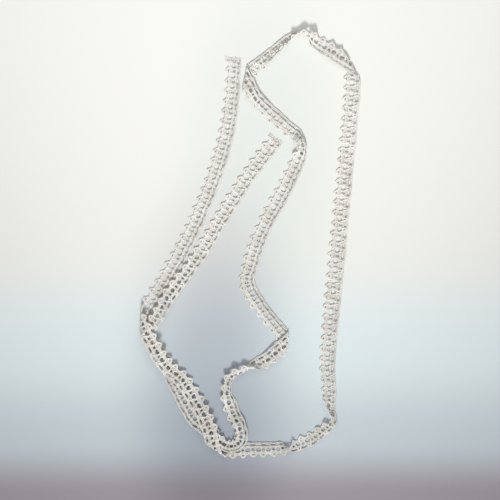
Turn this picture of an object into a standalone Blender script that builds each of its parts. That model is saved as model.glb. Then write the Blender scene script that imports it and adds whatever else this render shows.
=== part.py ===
"""A narrow lace edging, one long strip lying folded in loops on a flat surface.

The strip is first made flat, as it was worked: a straight foot edge, one hole a
repeat, and a blunt point a repeat along the heading. It is then laid along its
route, turned over at each fold, rolled at each twist and stacked where it
crosses itself. Lengths are in metres, +Z is up, and the strip rests on z = 0.
"""
import math
from collections import namedtuple

import bmesh
import bpy
import numpy as np

MM = 0.001

# The strip as it was worked
THICKNESS = 1.0 * MM
WIDTH = 10.4 * MM
REPEAT = 6.3 * MM
LAYER_STEP = 1.5 * MM

# One repeat, as shares of the repeat along the strip and of its width across
VALLEY_DEPTH = 0.76
VALLEY_HALF_FLAT = 0.13
POINT_HALF_FLAT = 0.07
HOLE_APEX = 0.27
HOLE_SHOULDER = (0.20, 0.48)
HOLE_BASE = 0.60

# How the strip bends. PRESS is what a twist keeps of its height, as a lid lay on it. The
# last two are when the strip is scored across so that it can bend: how tight a bend is,
# and how many degrees it rolls from one score to the next
BUNCHING = 0.6
TWIST_CURL = math.radians(235)
PRESS = 0.62
SAMPLES_A_SPAN = 40
SAMPLES_ACROSS = 17
FINE_CUT = REPEAT / 3
SNAP = 0.12 * MM
TIGHT_BEND = 1 / (14 * MM)
QUICK_ROLL = 5

# Where one edge lies higher than the other, the share of the width that slopes
DRAPE = 0.4

# Middle of the laid strip's box, in millimetres of the route's own measure
MIDDLE = (0.17, 0.57)

COTTON_COLOUR = (0.86, 0.85, 0.80, 1.0)
COTTON_ROUGHNESS = 0.85

# A place on the route, in millimetres. The width is the strip's there, foot and head
# are how many layers lie under those two edges, and roll is how far, in degrees, the
# heading has been turned up and over.
Place = namedtuple("Place", "x y width foot head roll")

# A leg runs from one flat fold to the next, and the last place of a leg is the fold
Leg = namedtuple("Leg", "name heading places")

ROUTE = (
    Leg("left side, down to the first fold", "right", (
        Place(-9.7, 111.0, 9.2, 0, 0, 0),
        Place(-10.7, 92.4, 9.8, 0, 0, 0),
        Place(-13.9, 68.4, 10.4, 0, 0, 0),
        Place(-20.7, 44.4, 10.2, 0, 0, 0),
        Place(-35.0, 9.4, 10.0, 0, 0, 0),
        Place(-51.8, -21.6, 10.2, 0, 0, 0),
        Place(-58.8, -32.7, 10.0, 0, 0, 0),
        Place(-66.1, -43.5, 9.8, 0, 0, 0),
    )),
    Leg("front of the lower left side", "left", (
        Place(-66.1, -43.5, 9.8, 3, 3, 0),
        Place(-57.2, -60.2, 9.8, 3, 3, 0),
        Place(-49.3, -72.3, 10.4, 1.5, 1.5, 0),
        Place(-40.2, -80.2, 10.6, 1.2, 0.5, 0),
        Place(-33.4, -90.0, 10.6, 1.3, 0.4, 0),
        Place(-25.4, -105.2, 10.6, 2, 2, 0),
        Place(-22.0, -115.0, 10.4, 2.1, 2.1, 0),
        Place(-19.5, -124.6, 10.0, 2.1, 2.1, 0),
    )),
    Leg("bottom, then up the right side", "right", (
        Place(-19.5, -124.6, 10.0, 0, 0, 0),
        Place(-8.0, -123.4, 9.4, 0, 0, 0),
        Place(3.0, -122.8, 9.2, 0, 0, 0),
        Place(17.8, -122.2, 9.2, 0, 0, 0),
        Place(29.5, -118.9, 8.6, 0, 0, 180),
        Place(39.2, -114.3, 8.3, 0, 0, 180),
        Place(45.0, -109.6, 8.0, 0, 0, 165),
        Place(49.4, -105.4, 8.0, 0, 0, 105),
        Place(47.6, -99.6, 8.4, 0, 0, 125),
        Place(47.4, -88.0, 9.2, 0, 0, 180),
        Place(46.4, -72.0, 9.8, 0, 0, 180),
        Place(47.6, -52.0, 10.6, 0, 0, 180),
        Place(51.5, -11.4, 10.8, 0, 0, 180),
        Place(56.1, 36.6, 10.4, 0, 0, 180),
        Place(59.1, 69.0, 10.4, 0, 0, 180),
        Place(61.3, 97.8, 10.4, 0, 0, 180),
        Place(61.6, 108.8, 10.4, 0, 0, 180),
    )),
    Leg("across the top", "right", (
        Place(61.6, 108.8, 10.4, 1, 1, 0),
        Place(51.6, 115.3, 10.0, 1, 1, 0),
        Place(41.6, 121.7, 9.8, 0, 0, 0),
        Place(31.8, 126.6, 9.6, 0, 0, 80),
        Place(22.6, 121.2, 9.2, 0, 0, 125),
        Place(13.5, 114.2, 8.8, 0, 0, 140),
        Place(5.1, 107.6, 9.0, 0, 0, 180),
        Place(-3.4, 100.4, 9.4, 0, 0, 180),
    )),
    Leg("middle, down to the third fold", "right", (
        Place(-3.4, 100.4, 9.4, 1, 1, 0),
        Place(1.2, 91.4, 9.2, 1, 1, 0),
        Place(13.6, 78.0, 9.6, 0, 0, 0),
        Place(24.5, 68.4, 9.4, 0, 0, 0),
        Place(31.4, 63.0, 9.2, 0, 0, 38),
        Place(31.8, 57.6, 9.2, 0, 0, 38),
        Place(28.6, 51.0, 9.8, 0, 0, 0),
        Place(20.4, 33.6, 10.4, 0, 0, 0),
        Place(8.2, 11.2, 10.2, 0, 0, 0),
        Place(0.4, -10.7, 10.2, 0, 0, 0),
        Place(-2.0, -22.0, 10.2, 0, 0, 0),
        Place(1.6, -30.4, 9.8, 0, 0, 0),
        Place(9.3, -41.4, 9.4, 0, 0, 0),
        Place(17.0, -50.6, 9.6, 0, 0, 0),
        Place(23.2, -58.6, 9.8, 0, 0, 0),
    )),
    Leg("middle, back and up to the second fold", "left", (
        Place(23.2, -58.6, 9.8, 1, 1, 0),
        Place(15.4, -65.4, 9.6, 1, 1, 0),
        Place(7.2, -70.8, 9.4, 0, 0, 10),
        Place(-3.0, -75.6, 9.2, 0, 0, 115),
        Place(-11.4, -79.4, 9.0, 0, 0, 140),
        Place(-13.4, -87.6, 9.2, 0, 0, 145),
        Place(-11.0, -99.0, 9.6, 0, 0, 180),
        Place(-6.4, -108.8, 9.2, 1, 1, 180),
        Place(-5.2, -114.8, 8.6, 1, 1, 180),
        Place(-7.2, -118.8, 8.1, 1, 1, 180),
        Place(-11.6, -120.2, 8.1, 1, 1, 180),
        Place(-16.8, -117.9, 8.4, 1, 1, 180),
        Place(-24.2, -111.0, 9.6, 1, 1, 180),
        Place(-32.6, -103.4, 10.2, 0, 0, 180),
        Place(-41.8, -87.0, 10.4, 0, 0, 180),
        Place(-51.7, -67.6, 10.2, 0, 0, 180),
        Place(-57.0, -60.4, 9.8, 1, 1, 180),
        Place(-63.4, -52.6, 9.6, 1, 1, 180),
    )),
    Leg("back of the left side, up to the other end", "left", (
        Place(-63.4, -52.6, 9.6, 2, 2, 0),
        Place(-57.0, -44.4, 9.2, 2, 2, 0),
        Place(-48.7, -29.9, 9.4, 0.4, 1, 0),
        Place(-39.5, -17.9, 9.6, 0, 0, 17),
        Place(-35.0, -11.9, 9.6, 0, 0, 14),
        Place(-28.8, -2.6, 9.5, 0, 0, 0),
        Place(-16.0, 18.6, 9.4, 0, 0, 0),
        Place(0.9, 44.7, 9.6, 0, 0, 0),
        Place(15.06, 63.29, 9.8, 0, 0, 0),
    )),
)


def smooth(share):
    """Ease a share from 0 to 1."""
    share = min(max(share, 0.0), 1.0)
    return share * share * (3 - 2 * share)


def tangents(points, fold_first, fold_last):
    """Directions of a smooth curve through the points, straight beside each fold."""
    spans = np.diff(points, axis=0)
    lengths = np.linalg.norm(spans, axis=1)
    ways = spans / lengths[:, None]
    result = [ways[0]]
    for before, after in zip(range(len(ways) - 1), range(1, len(ways))):
        mixed = ways[before] / lengths[before] + ways[after] / lengths[after]
        result.append(mixed / np.linalg.norm(mixed))
    result.append(ways[-1])
    if fold_first:
        result[1] = ways[0]
    if fold_last:
        result[-2] = ways[-1]
    return np.array(result), lengths


class LaidLeg:
    """One leg of the route, sampled closely along its middle line."""

    def __init__(self, leg, first, last):
        self.side = 1 if leg.heading == "left" else -1
        self.places = leg.places
        points = (np.array([(place.x, place.y) for place in leg.places]) - MIDDLE) * MM
        ways, lengths = tangents(points, not first, not last)
        spots, stations = [points[0]], [0]
        for index, length in enumerate(lengths):
            for step in range(1, SAMPLES_A_SPAN + 1):
                t = step / SAMPLES_A_SPAN
                near = (1 + 2 * t) * (1 - t) ** 2 * points[index]
                far = t * t * (3 - 2 * t) * points[index + 1]
                leave = t * (1 - t) ** 2 * length * ways[index]
                arrive = t * t * (t - 1) * length * ways[index + 1]
                spots.append(near + far + leave + arrive)
            stations.append(len(spots) - 1)
        self.spots = np.array(spots)
        steps = np.linalg.norm(np.diff(self.spots, axis=0), axis=1)
        self.run = np.concatenate([[0], np.cumsum(steps)])
        self.place_runs = self.run[stations]
        self.ways = np.gradient(self.spots, self.run, axis=0)
        self.ways[0], self.ways[-1] = ways[0], ways[-1]
        self.ways /= np.linalg.norm(self.ways, axis=1)[:, None]
        angle = np.unwrap(np.arctan2(self.ways[:, 1], self.ways[:, 0]))
        self.bend = np.gradient(angle, self.run)
        flatness = np.cos(np.radians([self.value("roll", run) for run in self.run])) ** 2
        crowd = 1 + BUNCHING * np.abs(self.bend) * WIDTH / 2 * flatness
        cloth = np.concatenate([[0], np.cumsum(steps * (crowd[1:] + crowd[:-1]) / 2)])
        self.cloth = cloth

    def value(self, column, run):
        """A column of the route's table at a distance along the leg."""
        runs = self.place_runs
        index = int(np.clip(np.searchsorted(runs, run) - 1, 0, len(runs) - 2))
        low, high = (getattr(self.places[index + more], column) for more in (0, 1))
        share = (run - runs[index]) / (runs[index + 1] - runs[index])
        return low + (high - low) * smooth(share)

    def run_at(self, cloth):
        """Distance along the leg for a length of cloth, straight on past both ends."""
        inside = min(max(cloth, 0.0), self.cloth[-1])
        return float(np.interp(inside, self.cloth, self.run)) + cloth - inside

    def frame(self, run):
        """Middle of the strip and its direction at a distance along the leg."""
        inside = min(max(run, 0.0), self.run[-1])
        way = np.array([np.interp(inside, self.run, self.ways[:, axis]) for axis in (0, 1)])
        way /= np.linalg.norm(way)
        spot = np.array([np.interp(inside, self.run, self.spots[:, axis]) for axis in (0, 1)])
        return spot + (run - inside) * way, way


class Fold:
    """A flat fold between two legs: where it crosses the cloth and how tall it is."""

    def __init__(self, before, after, cloth):
        way_in, way_out = before.ways[-1], after.ways[0]
        self.line = (way_in + way_out) / np.linalg.norm(way_in + way_out)
        turn = way_in[0] * self.line[1] - way_in[1] * self.line[0]
        self.sine = abs(turn)
        side = before.side * (-1 if before.places[-1].roll == 180 else 1)
        width = before.places[-1].width * MM / WIDTH
        self.slope = side * width * float(np.dot(way_in, self.line)) / turn
        self.cloth = cloth
        low, high = before.places[-1].foot, after.places[0].foot
        self.radius = abs(high - low) * LAYER_STEP / 2
        self.middle = THICKNESS / 2 + (low + high) / 2 * LAYER_STEP
        self.inward = -(way_in - self.line * np.dot(way_in, self.line))
        self.inward /= np.linalg.norm(self.inward)

    def distance(self, along, across):
        """How far a spot of the cloth lies past the fold, square to it."""
        return (along - self.cloth - self.slope * across) * self.sine

    def rolled(self, flat, distance, outward):
        """Move a spot near the fold onto the round of the turned cloth."""
        reach = math.pi * self.radius / 2
        angle = abs(distance) / self.radius
        arm = self.radius + outward
        shift = reach - arm * math.cos(angle) - abs(distance)
        spot = flat + shift * self.inward
        return spot, arm * math.sin(angle)


class Strip:
    """The whole strip: it takes a spot of the flat cloth to its place as laid."""

    def __init__(self):
        count = len(ROUTE)
        self.legs = [LaidLeg(leg, i == 0, i == count - 1) for i, leg in enumerate(ROUTE)]
        starts = np.concatenate([[0], np.cumsum([leg.cloth[-1] for leg in self.legs])])
        self.starts, self.length = starts[:-1], float(starts[-1])
        pairs = zip(self.legs, self.legs[1:], starts[1:-1])
        self.folds = [Fold(before, after, cloth) for before, after, cloth in pairs]

    def leg_at(self, along, across):
        """Which leg a spot of the cloth belongs to."""
        return sum(fold.distance(along, across) > 0 for fold in self.folds)

    def place(self, along, across, above):
        """Where a spot of the flat cloth lies, across from the middle line."""
        index = self.leg_at(along, across)
        leg = self.legs[index]
        run = leg.run_at(along - self.starts[index])
        spot, way = leg.frame(run)
        left = np.array([-way[1], way[0]])
        width = leg.value("width", run) * MM
        roll = math.radians(leg.value("roll", run))
        lateral = across * width / WIDTH
        curl = TWIST_CURL * math.sin(roll) ** 2 / width
        level = THICKNESS / 2 + LAYER_STEP * layers_under(leg, run, across / WIDTH + 0.5)
        sideways, height = section(lateral, curl, roll, leg.side, above)
        spots = np.linspace(-width / 2, width / 2, SAMPLES_ACROSS)
        lift = -min(section(spot_across, curl, roll, leg.side, 0)[1] for spot_across in spots)
        flat = spot + left * sideways

        for near in self.folds[max(index - 1, 0):index + 1]:
            distance = near.distance(along, across)
            if abs(distance) < math.pi * near.radius / 2:
                upper = level > near.middle
                outward = height if upper else -height
                spot_3d, rise = near.rolled(flat, distance, outward)
                return (*spot_3d, near.middle + (rise if upper else -rise))
        return (*flat, level + lift + height)


def layers_under(leg, run, share):
    """Layers under a spot, which slopes only near the lower of the two edges."""
    foot, head = leg.value("foot", run), leg.value("head", run)
    from_lower = share if head > foot else 1 - share
    return min(foot, head) + abs(head - foot) * smooth(from_lower / DRAPE)


def section(lateral, curl, roll, side, above):
    """Sideways and upward place in the cross-section, curled, rolled and pressed down."""
    angle = curl * lateral
    along, off = lateral, 0.0
    if angle:
        along, off = math.sin(angle) / curl, (1 - math.cos(angle)) / curl
    turn = side * roll
    toward_heading = along * math.cos(turn) - off * math.sin(turn)
    toward_face = (along * math.sin(turn) + off * math.cos(turn)) * PRESS
    lean = turn + angle
    slope = math.hypot(math.cos(lean), PRESS * math.sin(lean))
    toward_heading -= above * PRESS * math.sin(lean) / slope
    toward_face += above * math.cos(lean) / slope
    return side * toward_heading, side * toward_face


def flat_cloth(strip):
    """The strip as worked, one closed slab with a hole and a point for each repeat."""
    count = round(strip.length / REPEAT)
    repeat = strip.length / count
    mesh = bmesh.new()
    pairs = {}

    def pair(along, share):
        key = (round(along / repeat * 1000), round(share * 1000))
        if key not in pairs:
            across = (share - 0.5) * WIDTH
            pairs[key] = [mesh.verts.new((along, across, face * THICKNESS / 2)) for face in (-1, 1)]
        return pairs[key]

    def slab(*corners):
        mesh.faces.new([corner[1] for corner in corners])
        mesh.faces.new([corner[0] for corner in reversed(corners)])

    def wall(start, end):
        mesh.faces.new((start[0], end[0], end[1], start[1]))

    for index in range(count):
        middle = (index + 0.5) * repeat
        foot = [pair(middle + side * repeat / 2, 0) for side in (-1, 1)]
        tip = [pair(middle + side * repeat / 2, 1) for side in (-1, 1)]
        rim = [pair(middle + side * repeat * (0.5 - POINT_HALF_FLAT), 1) for side in (-1, 1)]
        bulge = [pair(middle + side * repeat * HOLE_SHOULDER[0], HOLE_SHOULDER[1]) for side in (-1, 1)]
        valley = [pair(middle + side * repeat * VALLEY_HALF_FLAT, VALLEY_DEPTH) for side in (-1, 1)]
        apex, base = pair(middle, HOLE_APEX), pair(middle, HOLE_BASE)
        slab(foot[0], foot[1], apex)
        slab(foot[1], bulge[1], apex)
        slab(foot[1], tip[1], bulge[1])
        slab(tip[1], rim[1], valley[1])
        slab(tip[1], valley[1], bulge[1])
        slab(valley[1], base, bulge[1])
        slab(valley[1], valley[0], base)
        slab(valley[0], bulge[0], base)
        slab(tip[0], bulge[0], valley[0])
        slab(tip[0], valley[0], rim[0])
        slab(tip[0], foot[0], bulge[0])
        slab(foot[0], apex, bulge[0])
        heading = (tip[1], rim[1], valley[1], valley[0], rim[0], tip[0])
        hole = (apex, bulge[0], base, bulge[1], apex)
        for start, end in ((foot[0], foot[1]), *zip(heading, heading[1:]), *zip(hole, hole[1:])):
            wall(start, end)
    wall(pair(0, 1), pair(0, 0))
    wall(pair(strip.length, 0), pair(strip.length, 1))
    return mesh


def cut(mesh, spot, normal, span=None):
    """Score the flat cloth along a line, so that it can bend there."""
    faces = mesh.faces
    if span:
        faces = [face for face in faces if span[0] < face.calc_center_median().x < span[1]]
    around = {item for face in faces for item in (face, *face.edges, *face.verts)}
    bmesh.ops.bisect_plane(mesh, geom=list(around), dist=SNAP, plane_co=spot, plane_no=normal)


def score(mesh, strip):
    """Add the lines where the cloth folds, twists or bends tightly."""
    for fold in strip.folds:
        reach = math.pi * fold.radius / 2 / fold.sine
        near = (fold.cloth - 3 * WIDTH, fold.cloth + 3 * WIDTH)
        for share in (-1, -0.5, 0, 0.5, 1):
            cut(mesh, (fold.cloth + share * reach, 0, 0), (1, -fold.slope, 0), near)
    for start, leg in zip(strip.starts, strip.legs):
        for along in np.arange(FINE_CUT, leg.cloth[-1], FINE_CUT):
            run, spot = leg.run_at(along), start + along
            bend = abs(np.interp(run, leg.run, leg.bend))
            before, after = (leg.value("roll", run + side * FINE_CUT) for side in (-1, 1))
            rolls = abs(after - before) > 2 * QUICK_ROLL
            if rolls or bend > TIGHT_BEND:
                cut(mesh, (spot, 0, 0), (1, 0, 0), (spot - REPEAT, spot + REPEAT))
            if rolls:
                cut(mesh, (spot, 0, 0), (0, 1, 0), (spot - 2 * FINE_CUT, spot + 2 * FINE_CUT))


def cotton():
    """The finish of the strip."""
    material = bpy.data.materials.new("cotton_lace")
    material.use_nodes = True
    shader = material.node_tree.nodes["Principled BSDF"]
    shader.inputs["Base Color"].default_value = COTTON_COLOUR
    shader.inputs["Roughness"].default_value = COTTON_ROUGHNESS
    shader.inputs["Metallic"].default_value = 0.0
    return material


def lace_strip():
    """The laid strip as one solid."""
    strip = Strip()
    mesh = flat_cloth(strip)
    score(mesh, strip)
    bmesh.ops.triangulate(mesh, faces=mesh.faces[:])
    for vert in mesh.verts:
        vert.co = strip.place(*vert.co)
    data = bpy.data.meshes.new("lace_strip")
    mesh.to_mesh(data)
    mesh.free()
    data.materials.append(cotton())
    lace = bpy.data.objects.new("lace_strip", data)
    bpy.context.scene.collection.objects.link(lace)
    return lace


def main():
    for old in list(bpy.data.objects):
        bpy.data.objects.remove(old, do_unlink=True)
    lace_strip()


main()
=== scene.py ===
"""The looks of a cotton lace edging, yarn by yarn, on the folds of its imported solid.

Every yarn is worked flat first. A flat point is in metres of cloth: how far along the
strip, how far across from its middle line towards the heading, and how far above its
middle face. Strip.place then takes it to where the laid strip has it, along the same
route as the solid's.
"""
import math
from collections import namedtuple

import bpy
import numpy as np
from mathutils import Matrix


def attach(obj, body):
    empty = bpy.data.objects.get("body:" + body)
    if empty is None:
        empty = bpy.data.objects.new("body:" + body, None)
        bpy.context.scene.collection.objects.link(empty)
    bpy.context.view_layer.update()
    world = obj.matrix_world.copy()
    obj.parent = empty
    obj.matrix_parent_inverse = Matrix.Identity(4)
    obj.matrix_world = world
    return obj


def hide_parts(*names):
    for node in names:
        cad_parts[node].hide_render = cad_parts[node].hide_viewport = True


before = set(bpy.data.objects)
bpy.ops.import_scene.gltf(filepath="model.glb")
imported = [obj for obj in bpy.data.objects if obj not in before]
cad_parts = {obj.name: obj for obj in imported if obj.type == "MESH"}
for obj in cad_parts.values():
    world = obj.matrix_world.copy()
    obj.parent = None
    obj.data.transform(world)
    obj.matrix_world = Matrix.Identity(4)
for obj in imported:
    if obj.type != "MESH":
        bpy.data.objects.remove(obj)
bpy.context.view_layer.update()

bl_info = {
    "name": "Lace edging looks",
    "version": (1, 0, 0),
    "blender": (4, 5, 0),
    "location": "3D View > Sidebar > Lace",
    "description": "Works the yarns of a laid lace edging and sets the stage for them",
    "category": "Object",
}

MM = 0.001

# The solid's material slot and node
NODE = "lace_strip"

# The strip as it was worked, with the same values as the solid
THICKNESS = 1.0 * MM
WIDTH = 10.4 * MM
REPEAT = 6.3 * MM
LAYER_STEP = 1.5 * MM

# How it bends, as the solid does. BUNCHING is how far a bend gathers the cloth, and
# TWIST_CURL and PRESS are how far a twist curls and what it keeps of its height.
BUNCHING = 0.6
TWIST_CURL = math.radians(235)
PRESS = 0.62
SAMPLES_A_SPAN = 40
SAMPLES_ACROSS = 17

# Where one edge lies higher than the other, the share of the width that slopes
DRAPE = 0.4

# Middle of the laid strip's box, in millimetres of the route's own measure
MIDDLE = (0.17, 0.57)

# A place on the route, in millimetres. The width is the strip's there, foot and head
# are how many layers lie under those two edges, and roll is how far, in degrees, the
# heading has been turned up and over.
Place = namedtuple("Place", "x y width foot head roll")

# A leg runs from one flat fold to the next, and the last place of a leg is the fold
Leg = namedtuple("Leg", "name heading places")

ROUTE = (
    Leg("left side, down to the first fold", "right", (
        Place(-9.7, 111.0, 9.2, 0, 0, 0),
        Place(-10.7, 92.4, 9.8, 0, 0, 0),
        Place(-13.9, 68.4, 10.4, 0, 0, 0),
        Place(-20.7, 44.4, 10.2, 0, 0, 0),
        Place(-35.0, 9.4, 10.0, 0, 0, 0),
        Place(-51.8, -21.6, 10.2, 0, 0, 0),
        Place(-58.8, -32.7, 10.0, 0, 0, 0),
        Place(-66.1, -43.5, 9.8, 0, 0, 0),
    )),
    Leg("front of the lower left side", "left", (
        Place(-66.1, -43.5, 9.8, 3, 3, 0),
        Place(-57.2, -60.2, 9.8, 3, 3, 0),
        Place(-49.3, -72.3, 10.4, 1.5, 1.5, 0),
        Place(-40.2, -80.2, 10.6, 1.2, 0.5, 0),
        Place(-33.4, -90.0, 10.6, 1.3, 0.4, 0),
        Place(-25.4, -105.2, 10.6, 2, 2, 0),
        Place(-22.0, -115.0, 10.4, 2.1, 2.1, 0),
        Place(-19.5, -124.6, 10.0, 2.1, 2.1, 0),
    )),
    Leg("bottom, then up the right side", "right", (
        Place(-19.5, -124.6, 10.0, 0, 0, 0),
        Place(-8.0, -123.4, 9.4, 0, 0, 0),
        Place(3.0, -122.8, 9.2, 0, 0, 0),
        Place(17.8, -122.2, 9.2, 0, 0, 0),
        Place(29.5, -118.9, 8.6, 0, 0, 180),
        Place(39.2, -114.3, 8.3, 0, 0, 180),
        Place(45.0, -109.6, 8.0, 0, 0, 165),
        Place(49.4, -105.4, 8.0, 0, 0, 105),
        Place(47.6, -99.6, 8.4, 0, 0, 125),
        Place(47.4, -88.0, 9.2, 0, 0, 180),
        Place(46.4, -72.0, 9.8, 0, 0, 180),
        Place(47.6, -52.0, 10.6, 0, 0, 180),
        Place(51.5, -11.4, 10.8, 0, 0, 180),
        Place(56.1, 36.6, 10.4, 0, 0, 180),
        Place(59.1, 69.0, 10.4, 0, 0, 180),
        Place(61.3, 97.8, 10.4, 0, 0, 180),
        Place(61.6, 108.8, 10.4, 0, 0, 180),
    )),
    Leg("across the top", "right", (
        Place(61.6, 108.8, 10.4, 1, 1, 0),
        Place(51.6, 115.3, 10.0, 1, 1, 0),
        Place(41.6, 121.7, 9.8, 0, 0, 0),
        Place(31.8, 126.6, 9.6, 0, 0, 80),
        Place(22.6, 121.2, 9.2, 0, 0, 125),
        Place(13.5, 114.2, 8.8, 0, 0, 140),
        Place(5.1, 107.6, 9.0, 0, 0, 180),
        Place(-3.4, 100.4, 9.4, 0, 0, 180),
    )),
    Leg("middle, down to the third fold", "right", (
        Place(-3.4, 100.4, 9.4, 1, 1, 0),
        Place(1.2, 91.4, 9.2, 1, 1, 0),
        Place(13.6, 78.0, 9.6, 0, 0, 0),
        Place(24.5, 68.4, 9.4, 0, 0, 0),
        Place(31.4, 63.0, 9.2, 0, 0, 38),
        Place(31.8, 57.6, 9.2, 0, 0, 38),
        Place(28.6, 51.0, 9.8, 0, 0, 0),
        Place(20.4, 33.6, 10.4, 0, 0, 0),
        Place(8.2, 11.2, 10.2, 0, 0, 0),
        Place(0.4, -10.7, 10.2, 0, 0, 0),
        Place(-2.0, -22.0, 10.2, 0, 0, 0),
        Place(1.6, -30.4, 9.8, 0, 0, 0),
        Place(9.3, -41.4, 9.4, 0, 0, 0),
        Place(17.0, -50.6, 9.6, 0, 0, 0),
        Place(23.2, -58.6, 9.8, 0, 0, 0),
    )),
    Leg("middle, back and up to the second fold", "left", (
        Place(23.2, -58.6, 9.8, 1, 1, 0),
        Place(15.4, -65.4, 9.6, 1, 1, 0),
        Place(7.2, -70.8, 9.4, 0, 0, 10),
        Place(-3.0, -75.6, 9.2, 0, 0, 115),
        Place(-11.4, -79.4, 9.0, 0, 0, 140),
        Place(-13.4, -87.6, 9.2, 0, 0, 145),
        Place(-11.0, -99.0, 9.6, 0, 0, 180),
        Place(-6.4, -108.8, 9.2, 1, 1, 180),
        Place(-5.2, -114.8, 8.6, 1, 1, 180),
        Place(-7.2, -118.8, 8.1, 1, 1, 180),
        Place(-11.6, -120.2, 8.1, 1, 1, 180),
        Place(-16.8, -117.9, 8.4, 1, 1, 180),
        Place(-24.2, -111.0, 9.6, 1, 1, 180),
        Place(-32.6, -103.4, 10.2, 0, 0, 180),
        Place(-41.8, -87.0, 10.4, 0, 0, 180),
        Place(-51.7, -67.6, 10.2, 0, 0, 180),
        Place(-57.0, -60.4, 9.8, 1, 1, 180),
        Place(-63.4, -52.6, 9.6, 1, 1, 180),
    )),
    Leg("back of the left side, up to the other end", "left", (
        Place(-63.4, -52.6, 9.6, 2, 2, 0),
        Place(-57.0, -44.4, 9.2, 2, 2, 0),
        Place(-48.7, -29.9, 9.4, 0.4, 1, 0),
        Place(-39.5, -17.9, 9.6, 0, 0, 17),
        Place(-35.0, -11.9, 9.6, 0, 0, 14),
        Place(-28.8, -2.6, 9.5, 0, 0, 0),
        Place(-16.0, 18.6, 9.4, 0, 0, 0),
        Place(0.9, 44.7, 9.6, 0, 0, 0),
        Place(15.06, 63.29, 9.8, 0, 0, 0),
    )),
)


def smooth(share):
    """Ease a share from 0 to 1."""
    share = np.clip(share, 0, 1)
    return share * share * (3 - 2 * share)


def tangents(points, fold_first, fold_last):
    """Directions of a smooth curve through the points, straight beside each fold."""
    spans = np.diff(points, axis=0)
    lengths = np.linalg.norm(spans, axis=1)
    ways = spans / lengths[:, None]
    result = [ways[0]]
    for before, after in zip(range(len(ways) - 1), range(1, len(ways))):
        mixed = ways[before] / lengths[before] + ways[after] / lengths[after]
        result.append(mixed / np.linalg.norm(mixed))
    result.append(ways[-1])
    if fold_first:
        result[1] = ways[0]
    if fold_last:
        result[-2] = ways[-1]
    return np.array(result), lengths


class LaidLeg:
    """One leg of the route, sampled closely along its middle line."""

    def __init__(self, leg, first, last):
        self.side = 1 if leg.heading == "left" else -1
        self.places = leg.places
        points = (np.array([(place.x, place.y) for place in leg.places]) - MIDDLE) * MM
        ways, lengths = tangents(points, not first, not last)
        share = np.linspace(0, 1, SAMPLES_A_SPAN + 1)[1:, None]
        spots = [points[:1]]
        for index, length in enumerate(lengths):
            near = (1 + 2 * share) * (1 - share) ** 2 * points[index]
            far = share**2 * (3 - 2 * share) * points[index + 1]
            leave = share * (1 - share) ** 2 * length * ways[index]
            arrive = share**2 * (share - 1) * length * ways[index + 1]
            spots.append(near + far + leave + arrive)
        self.spots = np.concatenate(spots)
        steps = np.linalg.norm(np.diff(self.spots, axis=0), axis=1)
        self.run = np.concatenate([[0], np.cumsum(steps)])
        self.place_runs = self.run[::SAMPLES_A_SPAN]
        self.ways = np.gradient(self.spots, self.run, axis=0)
        self.ways[0], self.ways[-1] = ways[0], ways[-1]
        self.ways /= np.linalg.norm(self.ways, axis=1)[:, None]
        angle = np.unwrap(np.arctan2(self.ways[:, 1], self.ways[:, 0]))
        bend = np.gradient(angle, self.run)
        flatness = np.cos(np.radians(self.value("roll", self.run))) ** 2
        crowd = 1 + BUNCHING * np.abs(bend) * WIDTH / 2 * flatness
        self.cloth = np.concatenate([[0], np.cumsum(steps * (crowd[1:] + crowd[:-1]) / 2)])

    def value(self, column, run):
        """A column of the route's table at distances along the leg."""
        runs = self.place_runs
        levels = np.array([getattr(place, column) for place in self.places], dtype=float)
        index = np.clip(np.searchsorted(runs, run) - 1, 0, len(runs) - 2)
        share = (run - runs[index]) / (runs[index + 1] - runs[index])
        return levels[index] + (levels[index + 1] - levels[index]) * smooth(share)

    def run_at(self, cloth):
        """Distances along the leg for lengths of cloth, straight on past both ends."""
        inside = np.clip(cloth, 0, self.cloth[-1])
        return np.interp(inside, self.cloth, self.run) + cloth - inside

    def frame(self, run):
        """Middle of the strip and its direction at distances along the leg."""
        inside = np.clip(run, 0, self.run[-1])
        way, spot = (
            np.stack([np.interp(inside, self.run, column) for column in rows.T], axis=-1)
            for rows in (self.ways, self.spots))
        way /= np.linalg.norm(way, axis=-1)[:, None]
        return spot + (run - inside)[:, None] * way, way


class Fold:
    """A flat fold between two legs: where it crosses the cloth and how tall it is."""

    def __init__(self, before, after, cloth):
        way_in, way_out = before.ways[-1], after.ways[0]
        line = (way_in + way_out) / np.linalg.norm(way_in + way_out)
        turn = way_in[0] * line[1] - way_in[1] * line[0]
        self.sine = abs(turn)
        side = before.side * (-1 if before.places[-1].roll == 180 else 1)
        width = before.places[-1].width * MM / WIDTH
        self.slope = side * width * float(np.dot(way_in, line)) / turn
        self.cloth = cloth
        low, high = before.places[-1].foot, after.places[0].foot
        self.radius = abs(high - low) * LAYER_STEP / 2
        self.middle = THICKNESS / 2 + (low + high) / 2 * LAYER_STEP
        self.inward = -(way_in - line * np.dot(way_in, line))
        self.inward /= np.linalg.norm(self.inward)

    def distance(self, along, across):
        """How far spots of the cloth lie past the fold, square to it."""
        return (along - self.cloth - self.slope * across) * self.sine

    def rolled(self, flat, distance, outward):
        """Spots near the fold moved onto the round of the turned cloth."""
        reach = math.pi * self.radius / 2
        angle = np.abs(distance) / self.radius
        arm = self.radius + outward
        shift = reach - arm * np.cos(angle) - np.abs(distance)
        return flat + shift[:, None] * self.inward, arm * np.sin(angle)


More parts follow.
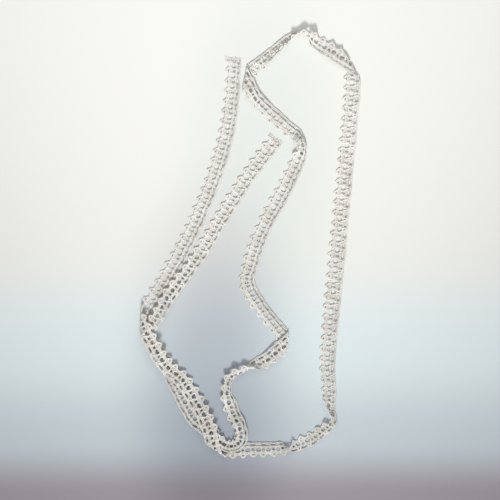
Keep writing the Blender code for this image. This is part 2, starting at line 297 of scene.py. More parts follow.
class Strip:
    """The whole strip: it takes points of the flat cloth to their places as laid."""

    def __init__(self):
        count = len(ROUTE)
        self.legs = [LaidLeg(leg, i == 0, i == count - 1) for i, leg in enumerate(ROUTE)]
        starts = np.concatenate([[0], np.cumsum([leg.cloth[-1] for leg in self.legs])])
        self.starts, self.length = starts[:-1], float(starts[-1])
        pairs = zip(self.legs, self.legs[1:], starts[1:-1])
        self.folds = [Fold(before, after, cloth) for before, after, cloth in pairs]
        self.count = round(self.length / REPEAT)
        self.repeat = self.length / self.count

    def place(self, points):
        """Where points of the flat cloth lie, given as rows of along, across, above."""
        along, across = points[:, 0], points[:, 1]
        past = [fold.distance(along, across) > 0 for fold in self.folds]
        belongs = np.sum(past, axis=0)
        placed = np.empty_like(points)
        for index in range(len(self.legs)):
            mine = belongs == index
            placed[mine] = self.place_on_leg(index, points[mine])
        return placed

    def place_on_leg(self, index, points):
        """Where points that all belong to one leg lie."""
        leg = self.legs[index]
        along, across, above = points.T
        run = leg.run_at(along - self.starts[index])
        spot, way = leg.frame(run)
        left = np.stack([-way[:, 1], way[:, 0]], axis=-1)
        width = leg.value("width", run) * MM
        roll = np.radians(leg.value("roll", run))
        curl = TWIST_CURL * np.sin(roll) ** 2 / width
        level = THICKNESS / 2 + LAYER_STEP * layers_under(leg, run, across / WIDTH + 0.5)
        sideways, height = section(across * width / WIDTH, curl, roll, leg.side, above)
        shares = np.linspace(-0.5, 0.5, SAMPLES_ACROSS)
        heights = [section(share * width, curl, roll, leg.side, 0)[1] for share in shares]
        flat = spot + left * sideways[:, None]
        placed = np.column_stack([flat, level - np.min(heights, axis=0) + height])

        for fold in self.folds[max(index - 1, 0):index + 1]:
            distance = fold.distance(along, across)
            near = np.abs(distance) < math.pi * fold.radius / 2
            face = np.where(level[near] > fold.middle, 1, -1)
            spots, rise = fold.rolled(flat[near], distance[near], face * height[near])
            placed[near] = np.column_stack([spots, fold.middle + face * rise])
        return placed


def layers_under(leg, run, share):
    """Layers under each point, which slope only near the lower of the two edges."""
    foot, head = leg.value("foot", run), leg.value("head", run)
    from_lower = np.where(head > foot, share, 1 - share)
    return np.minimum(foot, head) + np.abs(head - foot) * smooth(from_lower / DRAPE)


def section(lateral, curl, roll, side, above):
    """Sideways and upward place in the cross-section, curled, rolled and pressed down."""
    angle = curl * lateral
    along = lateral * np.sinc(angle / math.pi)
    off = lateral * angle / 2 * np.sinc(angle / 2 / math.pi) ** 2
    turn = side * roll
    toward_heading = along * np.cos(turn) - off * np.sin(turn)
    toward_face = (along * np.sin(turn) + off * np.cos(turn)) * PRESS
    lean = turn + angle
    slope = np.hypot(np.cos(lean), PRESS * np.sin(lean))
    toward_heading -= above * PRESS * np.sin(lean) / slope
    toward_face += above * np.cos(lean) / slope
    return side * toward_heading, side * toward_face


STRIP = Strip()

# A point that a yarn is worked through: along as a share of the repeat from its valley,
# across as a share of the width from the foot, and rise in millimetres above the middle
Stitch = namedtuple("Stitch", "along across rise")

# Half of a repeat's plait: it leaves the foot in a valley, passes between the large hole
# there and the small one, crosses the band and goes round the point to its tip
PLAIT = (
    Stitch(0.05, 0.10, 0.10),
    Stitch(0.09, 0.185, 0.25),
    Stitch(0.135, 0.265, 0.25),
    Stitch(0.19, 0.34, 0.15),
    Stitch(0.25, 0.41, 0.10),
    Stitch(0.28, 0.48, 0.10),
    Stitch(0.275, 0.555, 0.10),
    Stitch(0.24, 0.62, 0.05),
    Stitch(0.20, 0.68, 0.00),
    Stitch(0.18, 0.74, 0.05),
    Stitch(0.22, 0.795, 0.10),
    Stitch(0.29, 0.845, 0.10),
    Stitch(0.39, 0.905, 0.10),
    Stitch(0.50, 0.955, 0.10),
)

# Half of the pair that fills a point inside its plait and leaves a pinhole at its foot
LINING = (
    Stitch(0.28, 0.72, 0.00),
    Stitch(0.31, 0.77, 0.10),
    Stitch(0.36, 0.82, 0.10),
    Stitch(0.43, 0.865, 0.10),
    Stitch(0.50, 0.89, 0.10),
)

# Half of the pair that edges the small hole under a point
RIM = (
    Stitch(0.30, 0.60, 0.00),
    Stitch(0.36, 0.545, 0.10),
    Stitch(0.365, 0.46, 0.10),
    Stitch(0.35, 0.38, 0.10),
    Stitch(0.30, 0.31, 0.05),
)

# Halves of the threads that cross the foot in a valley, round the pinhole there
BRIDGES = (
    (
        Stitch(0.15, 0.29, 0.10),
        Stitch(0.09, 0.235, 0.20),
        Stitch(0.075, 0.17, 0.20),
        Stitch(0.10, 0.10, 0.20),
        Stitch(0.13, 0.03, 0.20),
        Stitch(0.14, 0.00, -0.10),
    ),
    (
        Stitch(0.24, 0.27, 0.10),
        Stitch(0.19, 0.21, 0.15),
        Stitch(0.16, 0.15, 0.15),
        Stitch(0.19, 0.09, 0.15),
        Stitch(0.24, 0.03, 0.15),
        Stitch(0.26, 0.00, -0.10),
    ),
    (
        Stitch(-0.10, 0.15, 0.00),
        Stitch(-0.04, 0.12, 0.10),
        Stitch(0.02, 0.09, 0.10),
        Stitch(0.07, 0.05, 0.10),
        Stitch(0.10, 0.01, 0.00),
    ),
)

# Cords that run the whole length: their place across in a valley and at a point, the
# radius of a yarn of the pair in millimetres, and its turns a repeat
Cord = namedtuple("Cord", "valley point yarn turns")
FOOT_CORDS = (
    Cord(0.022, 0.022, 0.120, 3),
    Cord(0.068, 0.068, 0.090, -3),
)
GROUND_CORDS = (
    Cord(0.250, 0.242, 0.110, 3),
    Cord(0.285, 0.280, 0.100, -3),
    Cord(0.320, 0.325, 0.120, 3),
)
BAND_CORDS = (
    Cord(0.615, 0.555, 0.130, 3),
    Cord(0.755, 0.755, 0.120, -4),
)
CORD_SAMPLES = 10

# Points along a stitched line, sides of a yarn, and how far the yarns of a pair lie from
# its middle, in yarn radii
LINE_SAMPLES = 9
PLAIT_SAMPLES = 27
SIDES = 4
PAIR_SPREAD = 0.9

# Turns that a pair makes over half a repeat, and those of a frayed thread
PLAIT_TURNS = 5.5
RIM_TURNS = 2.5
LINING_TURNS = 2.0
FRAY_TURNS = 1.0

# Yarns that wave along the dense band: their place across, and which way they wave,
# as neighbours that part leave its pinholes. WAVE is how far they wave across, as a
# share of the width, and WAVE_RISE how far up and down, in yarn radii.
Passive = namedtuple("Passive", "across wave")
PASSIVES = (
    Passive(0.640, 1),
    Passive(0.668, -1),
    Passive(0.697, 1),
    Passive(0.726, -1),
)
WAVES_A_REPEAT = 3
WAVE = 0.010
WAVE_SAMPLES = 6
WAVE_RISE = 0.7

# Rows of openings in the felt, from the foot to the points. Each gives, at places along
# the repeat from its valley, where the opening starts and ends across the strip.
Opening = namedtuple("Opening", "along low high")
ROWS = (
    (Opening(0.00, 0.000, 0.000), Opening(0.50, 0.000, 0.000)),
    (Opening(0.00, 0.150, 0.220), Opening(0.05, 0.165, 0.210), Opening(0.10, 0.185, 0.185),
     Opening(0.25, 0.160, 0.160), Opening(0.30, 0.130, 0.190), Opening(0.35, 0.110, 0.205),
     Opening(0.50, 0.105, 0.210)),
    (Opening(0.00, 0.355, 0.600), Opening(0.05, 0.360, 0.600), Opening(0.10, 0.375, 0.595),
     Opening(0.15, 0.405, 0.580), Opening(0.20, 0.455, 0.545), Opening(0.25, 0.480, 0.480),
     Opening(0.35, 0.440, 0.440), Opening(0.40, 0.385, 0.500), Opening(0.45, 0.365, 0.525),
     Opening(0.50, 0.360, 0.530)),
    (Opening(0.00, 0.680, 0.680), Opening(0.05, 0.660, 0.700), Opening(0.10, 0.680, 0.680),
     Opening(0.30, 0.680, 0.680), Opening(0.35, 0.665, 0.695), Opening(0.40, 0.680, 0.680),
     Opening(0.50, 0.680, 0.680)),
    (Opening(0.00, 0.745, 0.745), Opening(0.40, 0.785, 0.785), Opening(0.45, 0.772, 0.806),
     Opening(0.50, 0.768, 0.814)),
    (Opening(0.00, 0.775, 1.000), Opening(0.10, 0.775, 1.000), Opening(0.15, 0.785, 1.000),
     Opening(0.20, 0.810, 1.000), Opening(0.30, 0.865, 1.000), Opening(0.40, 0.925, 1.000),
     Opening(0.50, 0.975, 1.000)),
)
FELT_SAMPLES = 20

# How the openings grow and shrink along the strip: by what share, and how quickly, in
# radians a repeat. The rows are ROW_LAG radians apart.
Wander = namedtuple("Wander", "strength rate")
WANDERS = (
    Wander(0.13, 1.70),
    Wander(0.11, 0.61),
    Wander(0.08, 2.90),
)
ROW_LAG = 2

# The felt's colour as a share of the yarns': it is painted darker, as painted shade
# between the yarns
FELT_PAINTED_SHADE = 0.60

# How the worked cloth wanders: how far in millimetres, how quickly along the strip and
# across it, and from what phase. It wanders sideways more slowly than lengthwise, and up
# and down more quickly but less far.
Drift = namedtuple("Drift", "strength rate lean phase")
DRIFTS = (
    Drift(0.13, 1.13, 2.1, 0.4),
    Drift(0.12, 0.47, 3.3, 1.9),
    Drift(0.09, 2.31, 5.2, 4.1),
)
SIDEWAYS_RATE = 0.83
UPWARD_RATE = 1.21
UPWARD_SHARE = 0.5

# Threads of a cut end: how many, between which shares of the width, their radius, and
# how far inside the strip they start. Their length is a share of a repeat, their lean a
# share of the width, and their rise in millimetres, each drawn between two values.
FRAY_SEED = 7
FRAYS = 26
FRAY_EDGES = (0.02, 0.95)
FRAY_RADIUS = 0.07 * MM
FRAY_ROOT = 0.08
FRAY_LENGTH = (0.10, 0.38)
FRAY_LEAN = (-0.10, 0.10)
FRAY_RISE = (-0.2, 0.3)

# Where such a thread bends, as shares of its length, lean and rise
Bend = namedtuple("Bend", "length lean rise")
FRAY_BENDS = (
    Bend(0.3, 0.3, 0.5),
    Bend(0.7, 0.6, 1.0),
    Bend(1.0, 1.3, 0.5),
)

# The yarns' least height above the page
ABOVE_PAGE = 0.02 * MM

# The cotton's colour changes and its fibres: how fine they are and how many octaves, the
# span of the noise that the two colours are spread over, and the fibres' relief
CLOUD_SCALE, CLOUD_DETAIL = 90, 3
CLOUD_SPAN = (0.3, 0.7)
FIBRE_SCALE, FIBRE_DETAIL = 6000, 2
FIBRE_STRENGTH = 0.35
FIBRE_DEPTH = 0.05 * MM

# What else the cotton's shader is set to
COTTON = {
    "Sheen Weight": 0.25,
    "Sheen Roughness": 0.5,
    "Subsurface Weight": 0.15,
    "Subsurface Radius": (1, 0.9, 0.8),
    "Subsurface Scale": 0.3 * MM,
}

# Patches of painted shade on the page, longer away from the viewer than across: the
# middle and the half width in millimetres, how many times as long as wide, and the
# colour that multiplies the page's in the middle
ShadePatch = namedtuple("ShadePatch", "x y reach stretch colour")
SHADE_PATCHES = (
    ShadePatch(-22, -86, 75, 2.3, (0.63, 0.625, 0.67)),
    ShadePatch(7, 50, 75, 2.2, (0.875, 0.915, 0.93)),
)

# Where the page's colours stand along the picture's height, from its near edge to its
# far half. Towards the near edge they are bluer and painted darker, as painted shade.
EDGE_STOP = 0.01
NEAR_STOP = 0.12
MIDDLE_STOP = 0.29
FAR_STOP = 0.54

# How matt the page is
PAGE_ROUGHNESS = 0.9
PAGE_SPECULAR = 0.1

# How far back and how high the near lamp stands, how far beyond the middle it points,
# its cone, its size and its colour
LAMP_BACK = 0.86
LAMP_HEIGHT = 0.76
LAMP_AIM = 0.36
LAMP_CONE = math.radians(41)
LAMP_SIZE = 0.16
LAMP_COLOUR = (1.0, 0.99, 0.97)

# The place of the far lamp beyond the strip, and its length and width
FILL_BEYOND = 0.26
FILL_HEIGHT = 0.28
FILL_LENGTH = 0.7
FILL_WIDTH = 0.25

# The light from all round, and how high over the page the camera stands
SKY_COLOUR = (1.0, 0.98, 0.965)
CAMERA_HEIGHT = 0.6


def crossed(cord, share):
    """Where a cord runs across the strip, at shares of the repeat along it."""
    return cord.valley + (cord.point - cord.valley) * (1 + np.cos(2 * math.pi * share)) / 2


def edge(row, side, share):
    """One edge of a row of openings, at shares of the repeat along the strip."""
    from_valley = np.abs((share % 1) - 0.5)
    along, lows, highs = zip(*row)
    low, high = np.interp(from_valley, along, lows), np.interp(from_valley, along, highs)
    if row is ROWS[-1]:
        return low if side == "low" else high
    shift = ROW_LAG * ROWS.index(row)
    slack = 1 + sum(wander.strength * np.sin(wander.rate * share + shift) for wander in WANDERS)
    way = -1 if side == "low" else 1
    return (low + high) / 2 + way * slack * (high - low) / 2


def curve(stitches, samples):
    """A smooth line through stitches, as rows of along and across shares and rise."""
    points = np.array(stitches, dtype=float)
    slopes = np.gradient(points, axis=0)
    spots = np.linspace(0, len(points) - 1, samples)
    index = np.minimum(spots.astype(int), len(points) - 2)
    share = (spots - index)[:, None]
    near = (1 + 2 * share) * (1 - share) ** 2 * points[index]
    far = share**2 * (3 - 2 * share) * points[index + 1]
    leave = share * (1 - share) ** 2 * slopes[index]
    arrive = share**2 * (share - 1) * slopes[index + 1]
    return near + far + leave + arrive


def worked(line, repeats=None):
    """A line of stitches repeated along the strip, in metres of flat cloth."""
    if repeats is None:
        repeats = np.arange(STRIP.count)
    lines = np.repeat(line[None], len(repeats), axis=0)
    along = (lines[..., 0] + repeats[:, None] + 0.5) * STRIP.repeat
    return np.stack([along, (lines[..., 1] - 0.5) * WIDTH, lines[..., 2] * MM], axis=-1)


def unit(vectors):
    """Vectors at length one."""
    return vectors / np.maximum(np.linalg.norm(vectors, axis=-1), 1e-12)[..., None]


def sides_of(lines):
    """Two directions square to each line at each of its points."""
    ways = unit(np.gradient(lines, axis=-2))
    up = np.broadcast_to((0.0, 0.0, 1.0), lines.shape)
    level = unit(np.cross(up, ways))
    return level, np.cross(ways, level)


def pairs(lines, radius, turns):
    """Two yarns twisted round each line, each that far from it, with that many turns."""
    level, raised = sides_of(lines)
    share = np.linspace(0, 1, lines.shape[-2])
    yarns = []
    for start in (0, 0.5):
        phase = 2 * math.pi * (turns * share + start)
        offset = np.cos(phase)[:, None] * level + np.sin(phase)[:, None] * raised
        yarns.append(lines + radius * offset)
    return np.concatenate(yarns)


def tubes(lines, radius):
    """Rings of a round yarn along each line."""
    level, raised = (way[..., None, :] for way in sides_of(lines))
    angle = np.arange(SIDES) * 2 * math.pi / SIDES
    around = np.cos(angle)[:, None] * level + np.sin(angle)[:, None] * raised
    return lines[..., None, :] + radius * around


def uneven(points):
    """Small wander of the cloth, the same for yarns that lie together."""
    along, across = points[:, 0] / REPEAT, points[:, 1] / WIDTH
    moved = points.copy()
    for drift in DRIFTS:
        reach = drift.strength * MM
        turn, lean = drift.rate * along * math.pi, drift.lean * across
        moved[:, 0] += reach * np.sin(turn + lean + drift.phase)
        moved[:, 1] += reach * np.cos(turn * SIDEWAYS_RATE - lean + drift.phase)
        moved[:, 2] += reach * UPWARD_SHARE * np.sin(turn * UPWARD_RATE + 2 * lean + drift.phase)
    return moved


class Weave:
    """A piece of the lace made of many tubes, gathered ring by ring."""

    def __init__(self, name):
        self.name = name
        self.points, self.faces, self.size = [], [], 0

    def add(self, rings):
        """Add tubes given as rings of points, shaped tubes by rings by sides by three."""
        count, length, sides = rings.shape[:3]
        numbers = np.arange(count * length * sides).reshape(count, length, sides) + self.size
        ahead = np.roll(numbers, -1, axis=2)
        walls = np.stack([numbers[:, :-1], ahead[:, :-1], ahead[:, 1:], numbers[:, 1:]], axis=-1)
        self.faces.append(walls.reshape(-1, 4))
        self.faces.append(numbers[:, 0, ::-1])
        self.faces.append(numbers[:, -1])
        self.points.append(rings.reshape(-1, 3))
        self.size += count * length * sides

    def build(self, material):
        """The piece, laid in its place."""
        points = STRIP.place(uneven(np.concatenate(self.points)))
        points[:, 2] = np.maximum(points[:, 2], ABOVE_PAGE)
        counts = np.concatenate([np.full(len(faces), faces.shape[1]) for faces in self.faces])
        corners = np.concatenate([faces.ravel() for faces in self.faces])
        mesh = bpy.data.meshes.new(self.name)
        mesh.vertices.add(len(points))
        mesh.vertices.foreach_set("co", points.ravel())
        mesh.loops.add(len(corners))
        mesh.loops.foreach_set("vertex_index", corners)
        mesh.polygons.add(len(counts))
        mesh.polygons.foreach_set("loop_start", np.concatenate([[0], np.cumsum(counts)[:-1]]))
        mesh.polygons.foreach_set("use_smooth", np.ones(len(counts), dtype=bool))
        mesh.update(calc_edges=True)
        mesh.validate()
        mesh.materials.append(material)
        piece = bpy.data.objects.new(self.name, mesh)
        bpy.context.scene.collection.objects.link(piece)
        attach(piece, "root")
        return piece


def twisted_cords(weave, cords):
    """Add cords of two twisted yarns that run the whole length of the strip."""
    share = np.linspace(0, STRIP.count, STRIP.count * CORD_SAMPLES + 1)
    for cord in cords:
        across = (crossed(cord, share) - 0.5) * WIDTH
        line = np.column_stack([share * STRIP.repeat, across, np.zeros_like(share)])[None]
        pair = pairs(line, cord.yarn * PAIR_SPREAD * MM, STRIP.count * cord.turns)
        weave.add(tubes(pair, cord.yarn * MM))


def twisted(stitches, samples, yarn, turns):
    """Pairs of yarns twisted along the same stitches in every repeat."""
    return tubes(pairs(worked(curve(stitches, samples)), yarn * PAIR_SPREAD, turns), yarn)


def both_ways(stitches):
    """The stitches of half a repeat and those of its mirror image."""
    return [[Stitch(side * stitch.along, stitch.across, stitch.rise) for stitch in stitches]
            for side in (-1, 1)]


def noise(tree, place, scale, detail):
    """The value of a noise texture in the object's own frame."""
    texture = tree.nodes.new("ShaderNodeTexNoise")
    texture.inputs["Scale"].default_value = scale
    texture.inputs["Detail"].default_value = detail
    tree.links.new(place.outputs["Object"], texture.inputs["Vector"])
    return texture.outputs["Fac"]


def colours_along(tree, value, stops, interpolation="LINEAR"):
    """The colour at a value, between stops that each give a position and a colour."""
    node = tree.nodes.new("ShaderNodeValToRGB")
    node.color_ramp.interpolation = interpolation
    elements = node.color_ramp.elements
    for element, (position, colour) in zip(elements, (stops[0], stops[-1])):
        element.position = position
        element.color = (*colour, 1)
    for position, colour in stops[1:-1]:
        elements.new(position).color = (*colour, 1)
    tree.links.new(value, node.inputs["Fac"])
    return node.outputs["Color"]


def cotton(name, settings, painted_shade_tone=1.0):
    """Soft off-white cotton yarn: faint colour changes, fine fibres and some sheen.

    A tone below one darkens it, as painted shade on the felt between the yarns.
    """
    material = bpy.data.materials.new(name)
    material.use_nodes = True
    tree = material.node_tree
    shader = tree.nodes["Principled BSDF"]
    place = tree.nodes.new("ShaderNodeTexCoord")

    cloud = noise(tree, place, CLOUD_SCALE, CLOUD_DETAIL)
    pair = settings.shade_colour, settings.cotton_colour
    # Painted shade: the colours are darkened by the tone, for the felt between the yarns
    colours = [[part * painted_shade_tone for part in colour] for colour in pair]
    tint = colours_along(tree, cloud, list(zip(CLOUD_SPAN, colours)))
    tree.links.new(tint, shader.inputs["Base Color"])

    fibre = noise(tree, place, FIBRE_SCALE, FIBRE_DETAIL)
    bump = tree.nodes.new("ShaderNodeBump")
    bump.inputs["Strength"].default_value = FIBRE_STRENGTH
    bump.inputs["Distance"].default_value = FIBRE_DEPTH
    tree.links.new(fibre, bump.inputs["Height"])
    tree.links.new(bump.outputs["Normal"], shader.inputs["Normal"])

    shader.inputs["Roughness"].default_value = settings.roughness
    for socket, value in COTTON.items():
        shader.inputs[socket].default_value = value
    return material


class LaceSettings(bpy.types.PropertyGroup):
    """Sizes and colours of the yarns."""

    plait_yarn: bpy.props.FloatProperty(
        name="Plait yarn", description="Radius of a yarn of the plaits", default=0.20 * MM,
        unit="LENGTH")
    rim_yarn: bpy.props.FloatProperty(
        name="Rim yarn", description="Radius of a yarn round the small holes", default=0.12 * MM,
        unit="LENGTH")
    cloth_yarn: bpy.props.FloatProperty(
        name="Cloth yarn", description="Radius of a yarn of the dense band", default=0.16 * MM,
        unit="LENGTH")
    lining_yarn: bpy.props.FloatProperty(
        name="Lining yarn", description="Radius of a yarn that lines the points",
        default=0.16 * MM, unit="LENGTH")
    web_thickness: bpy.props.FloatProperty(
        name="Web thickness", description="Thickness of the felted fibres between yarns",
        default=0.08 * MM, unit="LENGTH")
    roughness: bpy.props.FloatProperty(
        name="Roughness", description="Roughness of the cotton", default=0.85, min=0, max=1)
    cotton_colour: bpy.props.FloatVectorProperty(
        name="Cotton", description="Colour of the cotton", default=(0.965, 0.95, 0.915),
        subtype="COLOR")
    shade_colour: bpy.props.FloatVectorProperty(
        name="Shade", description="Colour of its duller places", default=(0.80, 0.77, 0.71),
        subtype="COLOR")


class StageSettings(bpy.types.PropertyGroup):
    """The page that the strip lies on, its light and its camera."""

    page_size: bpy.props.FloatProperty(
        name="Page size", description="Side of the page", default=3.0, unit="LENGTH")
    view_size: bpy.props.FloatProperty(
        name="View size", description="Side of what the camera sees", default=0.3, unit="LENGTH")
    view_middle: bpy.props.FloatVectorProperty(
        name="View middle", description="Middle of what the camera sees",
        default=(0.13 * MM, -3.27 * MM), size=2, unit="LENGTH")
    far_colour: bpy.props.FloatVectorProperty(
        name="Far colour", description="Page in its far half", default=(0.81, 0.82, 0.785),
        subtype="COLOR")
    # The page's colours towards its near edge are painted darker, as painted shade
    middle_shade_colour: bpy.props.FloatVectorProperty(
        name="Middle colour", description="Page nearer than its middle", default=(0.73, 0.82, 0.845),
        subtype="COLOR")
    near_shade_colour: bpy.props.FloatVectorProperty(
        name="Near colour", description="Page near its near edge", default=(0.605, 0.685, 0.735),
        subtype="COLOR")
    edge_shade_colour: bpy.props.FloatVectorProperty(
        name="Edge colour", description="Page at its near edge", default=(0.41, 0.375, 0.42),
        subtype="COLOR")
    lamp_power: bpy.props.FloatProperty(
        name="Lamp power", description="Power of the near lamp", default=68.0, unit="POWER")
    fill_power: bpy.props.FloatProperty(
        name="Far lamp power", description="Power of the lamp beyond the strip", default=0.40,
        unit="POWER")
    sky_strength: bpy.props.FloatProperty(
        name="Sky strength", description="Strength of the light from all round", default=0.37)


class LACE_OT_web(bpy.types.Operator):
    """Felt the cloth between the rows of openings"""

    bl_idname = "lace.web"
    bl_label = "Web of fibres"

    def execute(self, context):
        settings = context.scene.lace_settings
        half = settings.web_thickness / 2
        web = Weave("lace_web")
        share = np.linspace(0, STRIP.count, STRIP.count * FELT_SAMPLES + 1)
        along = share * STRIP.repeat
        for below, above in zip(ROWS, ROWS[1:]):
            low, high = edge(below, "high", share), edge(above, "low", share)
            rings = [np.column_stack([along, (across - 0.5) * WIDTH, np.full_like(along, rise)])
                     for across, rise in ((high, half), (low, half), (low, -half), (high, -half))]
            web.add(np.stack(rings, axis=1)[None])
        # The felt is painted darker than the yarns, as painted shade between them
        piece = web.build(cotton("cotton_web_painted_shade", settings, FELT_PAINTED_SHADE))
        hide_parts(NODE)
        return {"FINISHED"}


class LACE_OT_foot(bpy.types.Operator):
    """Twist the cords of the foot and bridge from them to the ground"""

    bl_idname = "lace.foot"
    bl_label = "Foot"

    def execute(self, context):
        settings = context.scene.lace_settings
        foot = Weave("lace_foot")
        twisted_cords(foot, FOOT_CORDS)
        for bridge in BRIDGES:
            for stitches in both_ways(bridge):
                foot.add(tubes(worked(curve(stitches, LINE_SAMPLES)), settings.cloth_yarn))
        foot.build(cotton("cotton_foot", settings))
        return {"FINISHED"}


class LACE_OT_ground(bpy.types.Operator):
    """Twist the cords of the ground and the rims of the small holes"""

    bl_idname = "lace.ground"
    bl_label = "Ground and rims"

    def execute(self, context):
        settings = context.scene.lace_settings
        ground = Weave("lace_ground")
        twisted_cords(ground, GROUND_CORDS)
        for stitches in both_ways(RIM):
            ground.add(twisted(stitches, LINE_SAMPLES, settings.rim_yarn, RIM_TURNS))
        ground.build(cotton("cotton_ground", settings))
        return {"FINISHED"}


class LACE_OT_plaits(bpy.types.Operator):
    """Plait between the holes, across the band and round the points"""

    bl_idname = "lace.plaits"
    bl_label = "Plaits"

    def execute(self, context):
        settings = context.scene.lace_settings
        plaits = Weave("lace_plaits")
        for turns, stitches in zip((-PLAIT_TURNS, PLAIT_TURNS), both_ways(PLAIT)):
            plaits.add(twisted(stitches, PLAIT_SAMPLES, settings.plait_yarn, turns))
        plaits.build(cotton("cotton_plaits", settings))
        return {"FINISHED"}


class LACE_OT_band(bpy.types.Operator):
    """Run the cords that edge the dense band and the yarns that wave along it"""

    bl_idname = "lace.band"
    bl_label = "Dense band"

    def execute(self, context):
        settings = context.scene.lace_settings
        band = Weave("lace_band")
        twisted_cords(band, BAND_CORDS)
        share = np.linspace(0, STRIP.count, STRIP.count * WAVES_A_REPEAT * WAVE_SAMPLES + 1)
        for passive in PASSIVES:
            turn = 2 * math.pi * WAVES_A_REPEAT * share
            across = (passive.across + passive.wave * WAVE * np.cos(turn) - 0.5) * WIDTH
            rise = passive.wave * np.sin(turn) * settings.cloth_yarn * WAVE_RISE
            line = np.column_stack([share * STRIP.repeat, across, rise])
            band.add(tubes(line[None], settings.cloth_yarn))
        band.build(cotton("cotton_band", settings))
        return {"FINISHED"}


class LACE_OT_linings(bpy.types.Operator):
    """Line the points with a finer twisted thread"""

    bl_idname = "lace.linings"
    bl_label = "Linings of the points"

    def execute(self, context):
        settings = context.scene.lace_settings
        linings = Weave("lace_linings")
        for stitches in both_ways(LINING):
            linings.add(twisted(stitches, LINE_SAMPLES, settings.lining_yarn, LINING_TURNS))
        linings.build(cotton("cotton_linings", settings))
        return {"FINISHED"}


class LACE_OT_ends(bpy.types.Operator):
    """Fray the yarns where both ends of the strip are cut"""

    bl_idname = "lace.ends"
    bl_label = "Cut ends"

    def execute(self, context):
        settings = context.scene.lace_settings
        chance = np.random.default_rng(FRAY_SEED)
        ends = Weave("lace_ends")
        for repeat, way in ((0, -1), (STRIP.count, 1)):
            start = repeat - 0.5
            for across in np.linspace(*FRAY_EDGES, FRAYS):
                length = chance.uniform(*FRAY_LENGTH)
                lean = chance.uniform(*FRAY_LEAN)
                rise = chance.uniform(*FRAY_RISE)
                stitches = [Stitch(start - way * FRAY_ROOT, across, 0)]
                for bend in FRAY_BENDS:
                    along = start + way * bend.length * length
                    stitches.append(Stitch(along, across + bend.lean * lean, bend.rise * rise))
                line = worked(curve(stitches, LINE_SAMPLES), np.zeros(1))
                pair = pairs(line, FRAY_RADIUS, FRAY_TURNS)
                ends.add(tubes(pair, FRAY_RADIUS))
        ends.build(cotton("cotton_ends", settings))
        return {"FINISHED"}


class LACE_OT_cloth(bpy.types.Operator):
    """A step that makes nothing and changes nothing"""

    bl_idname = "lace.cloth"
    bl_label = "Declare the cloth"

    def execute(self, context):
        return {"FINISHED"}


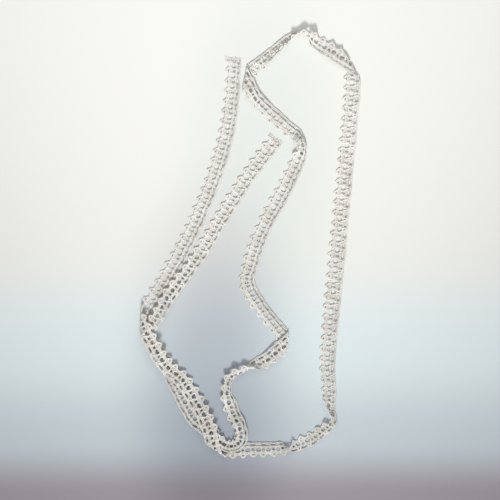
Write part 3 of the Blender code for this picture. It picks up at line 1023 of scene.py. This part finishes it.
class LACE_OT_stage(bpy.types.Operator):
    """Set the page, its two lamps, the light from all round and the camera"""

    bl_idname = "lace.stage"
    bl_label = "Stage"

    def execute(self, context):
        settings = context.scene.stage_settings
        scene = context.scene
        side = settings.page_size / 2
        mesh = bpy.data.meshes.new("page")
        corners = [(-side, -side, 0), (side, -side, 0), (side, side, 0), (-side, side, 0)]
        mesh.from_pydata(corners, [], [(0, 1, 2, 3)])
        page = bpy.data.objects.new("page", mesh)
        scene.collection.objects.link(page)
        mesh.materials.append(self.paper(settings))

        lean = math.atan2(LAMP_BACK + LAMP_AIM, LAMP_HEIGHT)
        near = self.lamp(scene, "near_lamp", "SPOT", -LAMP_BACK, LAMP_HEIGHT, lean)
        near.spot_size = LAMP_CONE
        near.spot_blend = 1
        near.shadow_soft_size = LAMP_SIZE
        near.energy = settings.lamp_power
        near.color = LAMP_COLOUR

        lean = -math.atan2(FILL_BEYOND / 2, FILL_HEIGHT)
        far = self.lamp(scene, "far_lamp", "AREA", FILL_BEYOND, FILL_HEIGHT, lean)
        far.shape = "RECTANGLE"
        far.size = FILL_LENGTH
        far.size_y = FILL_WIDTH
        far.energy = settings.fill_power

        world = bpy.data.worlds.new("sky")
        world.use_nodes = True
        sky = world.node_tree.nodes["Background"]
        sky.inputs["Color"].default_value = (*SKY_COLOUR, 1)
        sky.inputs["Strength"].default_value = settings.sky_strength
        scene.world = world

        camera_data = bpy.data.cameras.new("camera")
        camera_data.type = "ORTHO"
        camera_data.ortho_scale = settings.view_size
        camera = bpy.data.objects.new("camera", camera_data)
        camera.location = (*settings.view_middle, CAMERA_HEIGHT)
        scene.collection.objects.link(camera)
        scene.camera = camera
        scene.view_settings.view_transform = "Standard"
        return {"FINISHED"}

    def lamp(self, scene, name, kind, along, height, lean):
        """A lamp that leans towards the strip from before or beyond it."""
        data = bpy.data.lights.new(name, kind)
        lamp = bpy.data.objects.new(name, data)
        lamp.location = (0, along, height)
        lamp.rotation_euler = (lean, 0, 0)
        scene.collection.objects.link(lamp)
        return data

    def paper(self, settings):
        """Pale matt page, bluer towards its near edge.

        Painted shade darkens it towards that edge and in its patches.
        """
        material = bpy.data.materials.new("page")
        material.use_nodes = True
        tree = material.node_tree
        shader = tree.nodes["Principled BSDF"]
        place = tree.nodes.new("ShaderNodeTexCoord").outputs["Object"]
        split = tree.nodes.new("ShaderNodeSeparateXYZ")
        tree.links.new(place, split.inputs["Vector"])
        reach = tree.nodes.new("ShaderNodeMapRange")
        reach.inputs["From Min"].default_value = settings.view_middle[1] - settings.view_size / 2
        reach.inputs["From Max"].default_value = settings.view_middle[1] + settings.view_size / 2
        tree.links.new(split.outputs["Y"], reach.inputs["Value"])
        # Painted shade: the page darkens towards its near edge
        colour = colours_along(tree, reach.outputs["Result"], (
            (EDGE_STOP, settings.edge_shade_colour),
            (NEAR_STOP, settings.near_shade_colour),
            (MIDDLE_STOP, settings.middle_shade_colour),
            (FAR_STOP, settings.far_colour),
        ), "EASE")
        # Painted shade: each patch darkens the page's colour
        for shade_patch in SHADE_PATCHES:
            colour = self.with_painted_shade(tree, place, colour, shade_patch)
        tree.links.new(colour, shader.inputs["Base Color"])
        shader.inputs["Roughness"].default_value = PAGE_ROUGHNESS
        shader.inputs["Specular IOR Level"].default_value = PAGE_SPECULAR
        return material

    def with_painted_shade(self, tree, place, colour, shade_patch):
        """The page's colour with a patch of painted shade in it."""
        spot = place
        middle = (shade_patch.x * MM, shade_patch.y * MM, 0)
        for operation, by in (("SUBTRACT", middle), ("MULTIPLY", (1, 1 / shade_patch.stretch, 1))):
            step = tree.nodes.new("ShaderNodeVectorMath")
            step.operation = operation
            step.inputs[1].default_value = by
            tree.links.new(spot, step.inputs[0])
            spot = step.outputs["Vector"]
        away = tree.nodes.new("ShaderNodeVectorMath")
        away.operation = "LENGTH"
        tree.links.new(spot, away.inputs[0])
        fade = tree.nodes.new("ShaderNodeMapRange")
        fade.interpolation_type = "SMOOTHERSTEP"
        fade.inputs["From Min"].default_value = shade_patch.reach * MM
        fade.inputs["From Max"].default_value = 0
        tree.links.new(away.outputs["Value"], fade.inputs["Value"])
        mix = tree.nodes.new("ShaderNodeMix")
        mix.data_type = "RGBA"
        mix.blend_type = "MULTIPLY"
        mix.inputs["B"].default_value = (*shade_patch.colour, 1)
        tree.links.new(fade.outputs["Result"], mix.inputs["Factor"])
        tree.links.new(colour, mix.inputs["A"])
        return mix.outputs["Result"]


# The operators, in the order they run
STEPS = ("web", "foot", "ground", "plaits", "band", "linings", "ends", "cloth", "stage")


class LACE_PT_panel(bpy.types.Panel):
    """The lace's pieces, in the order they are made"""

    bl_label = "Lace edging"
    bl_idname = "LACE_PT_panel"
    bl_space_type = "VIEW_3D"
    bl_region_type = "UI"
    bl_category = "Lace"

    def draw(self, context):
        for step in STEPS:
            self.layout.operator("lace." + step)


CLASSES = (
    LaceSettings, StageSettings, LACE_OT_web, LACE_OT_foot, LACE_OT_ground, LACE_OT_plaits,
    LACE_OT_band, LACE_OT_linings, LACE_OT_ends, LACE_OT_cloth, LACE_OT_stage, LACE_PT_panel,
)


def register():
    for item in CLASSES:
        bpy.utils.register_class(item)
    bpy.types.Scene.lace_settings = bpy.props.PointerProperty(type=LaceSettings)
    bpy.types.Scene.stage_settings = bpy.props.PointerProperty(type=StageSettings)


def unregister():
    del bpy.types.Scene.stage_settings
    del bpy.types.Scene.lace_settings
    for item in reversed(CLASSES):
        bpy.utils.unregister_class(item)


def main():
    register()
    for step in STEPS:
        getattr(bpy.ops.lace, step)()


if __name__ == "__main__":
    main()
